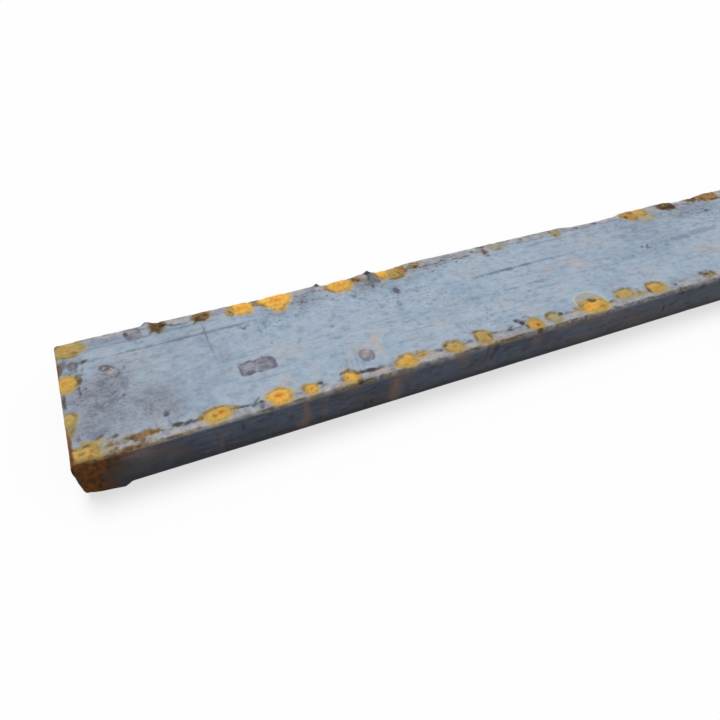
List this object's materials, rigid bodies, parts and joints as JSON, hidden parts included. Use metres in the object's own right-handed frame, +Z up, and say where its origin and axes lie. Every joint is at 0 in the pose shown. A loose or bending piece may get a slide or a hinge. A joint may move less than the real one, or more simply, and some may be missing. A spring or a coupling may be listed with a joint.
{
  "type": "steel flat bar",
  "caption": "Solid rectangular hot-rolled steel bar stock with rounded arrises, crowned narrow faces and sheared ends, to be cut, drilled or welded.",
  "frame": {"origin": "centre of the underside, halfway along the bar", "axes": "+X along the bar, away from the end whose top arris the shear blade entered, +Y across its width, +Z up through its thickness"},
  "size_m": [1, 0.08, 0.02],
  "materials": {
    "steel": "matte"
  },
  "bodies": {
    "root": {"flat_bar": "steel"}
  },
  "joints": []
}
